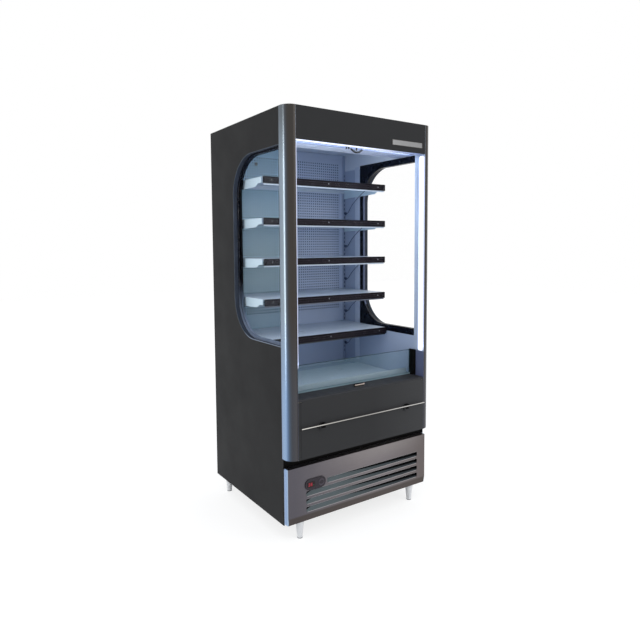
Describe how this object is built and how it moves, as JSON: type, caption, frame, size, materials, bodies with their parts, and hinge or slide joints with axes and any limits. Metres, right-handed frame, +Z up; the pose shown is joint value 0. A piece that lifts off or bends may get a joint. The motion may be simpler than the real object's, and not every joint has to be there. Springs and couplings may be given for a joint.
{
  "type": "open multideck display fridge",
  "caption": "Open-front upright display fridge with shelves, glazed sides, lamps, night curtain, glass riser, louvred steel grille and levelling feet.",
  "frame": {"origin": "on the floor under the middle of the whole fridge", "axes": "+Z up, +X to the right as seen from the open front, +Y from the open front to the rear panel"},
  "size_m": [0.889, 0.818, 2.001],
  "materials": {
    "dark_paint": "satin",
    "zinc_sheet": "matte",
    "post_paint": "satin",
    "foam": "matte",
    "clear_glass": "polished",
    "black_gloss": "gloss",
    "white_paint": "satin",
    "grey_paint": "satin",
    "brushed_steel": "brushed",
    "satin_aluminium": "satin",
    "bright_wire": "polished",
    "curtain_fabric": "matte",
    "lamp_cover": "satin",
    "strip_plastic": "gloss",
    "black_rubber": "matte",
    "key_plastic": "matte",
    "foot_plastic": "matte",
    "black_paint": "satin",
    "coil_aluminium": "satin",
    "fan_plastic": "matte",
    "copper": "satin",
    "grey_plastic": "matte"
  },
  "bodies": {
    "cabinet": {"badge_plate": "satin_aluminium", "base_frame": "zinc_sheet", "canopy_frame": "white_paint", "canopy_lamp": "lamp_cover", "compressor": "black_paint", "condensate_drain": "grey_plastic", "condenser_coil": "coil_aluminium", "controller_housing": "black_gloss", "corner_posts": "post_paint", "curtain_catch": "bright_wire", "deck_pans": "white_paint", "discharge_grille": "white_paint", "duct_panel": "white_paint", "electrical_box": "grey_plastic", "evaporator_coil": "coil_aluminium", "fan_motors": "fan_plastic", "fan_plates": "grey_paint", "foam_insulation": "foam", "front_panel": "dark_paint", "front_rail": "dark_paint", "front_trim_rail": "satin_aluminium", "grille_blades": "grey_paint", "grille_panel": "brushed_steel", "header_fascia": "dark_paint", "interior_liners": "white_paint", "left_side_panel": "dark_paint", "post_lamps": "lamp_cover", "price_strips": "strip_plastic", "rear_panel": "zinc_sheet", "refrigerant_pipes": "copper", "return_air_grille": "white_paint", "right_side_panel": "dark_paint", "riser_ends": "black_gloss", "riser_glass": "clear_glass", "shelf_1": "white_paint", "shelf_2": "white_paint", "shelf_3": "white_paint", "shelf_4": "white_paint", "shelf_5": "white_paint", "shelf_brackets": "white_paint", "shelf_lamp_leads": "black_rubber", "shelf_lamps": "lamp_cover", "shelf_standards": "grey_paint", "top_panel": "dark_paint", "well_liner": "brushed_steel", "window_frames": "black_gloss", "window_panes": "clear_glass"},
    "curtain": {"curtain_pull_bar": "satin_aluminium", "curtain_handle": "bright_wire", "curtain_cloth": "curtain_fabric"},
    "curtain_tube": {"curtain_roller": "curtain_fabric"},
    "fan_left": {"fan_blade_left": "fan_plastic"},
    "fan_right": {"fan_blade_right": "fan_plastic"},
    "fan_condenser": {"fan_blade_condenser": "fan_plastic"},
    "key_up": {"key_up": "key_plastic"},
    "key_down": {"key_down": "key_plastic"},
    "foot_front_left": {"foot_front_left": "foot_plastic"},
    "foot_front_right": {"foot_front_right": "foot_plastic"},
    "foot_rear_left": {"foot_rear_left": "foot_plastic"},
    "foot_rear_right": {"foot_rear_right": "foot_plastic"}
  },
  "joints": [
    {"name": "curtain_slide", "type": "slide", "parent": "cabinet", "child": "curtain", "axis": [0, 0, -1], "range_m": [0, 1.146], "stiffness_N_per_m": 8, "springref_m": -1, "deforming": ["curtain_cloth"]},
    {"name": "curtain_roller_spin", "type": "hinge", "parent": "cabinet", "child": "curtain_tube", "pos_m": [0, -0.304, 1.897], "axis": [1, 0, 0], "range_deg": [0, 4110]},
    {"name": "fan_left_spin", "type": "hinge", "parent": "cabinet", "child": "fan_left", "pos_m": [-0.19, -0.137, 0.55575], "axis": [0, 1, 0], "continuous": true},
    {"name": "fan_right_spin", "type": "hinge", "parent": "cabinet", "child": "fan_right", "pos_m": [0.19, -0.137, 0.55575], "axis": [0, 1, 0], "continuous": true},
    {"name": "fan_condenser_spin", "type": "hinge", "parent": "cabinet", "child": "fan_condenser", "pos_m": [0.09, -0.181, 0.205], "axis": [0, 1, 0], "continuous": true},
    {"name": "key_up_press", "type": "slide", "parent": "cabinet", "child": "key_up", "axis": [0, 1, 0], "range_m": [0, 0.0008], "stiffness_N_per_m": 400},
    {"name": "key_down_press", "type": "slide", "parent": "cabinet", "child": "key_down", "axis": [0, 1, 0], "range_m": [0, 0.0008], "stiffness_N_per_m": 400},
    {"name": "foot_front_left_turn", "type": "hinge", "parent": "cabinet", "child": "foot_front_left", "pos_m": [-0.352, -0.328, 0.04], "axis": [0, 0, 1], "range_deg": [0, 3600]},
    {"name": "foot_front_right_turn", "type": "hinge", "parent": "cabinet", "child": "foot_front_right", "pos_m": [0.352, -0.328, 0.04], "axis": [0, 0, 1], "range_deg": [0, 3600]},
    {"name": "foot_rear_left_turn", "type": "hinge", "parent": "cabinet", "child": "foot_rear_left", "pos_m": [-0.403, 0.338, 0.04], "axis": [0, 0, 1], "range_deg": [0, 3600]},
    {"name": "foot_rear_right_turn", "type": "hinge", "parent": "cabinet", "child": "foot_rear_right", "pos_m": [0.403, 0.338, 0.04], "axis": [0, 0, 1], "range_deg": [0, 3600]}
  ],
  "couplings": [
    {"joint": "curtain_roller_spin", "follows": "curtain_slide", "rad_per_m": 62.5}
  ]
}
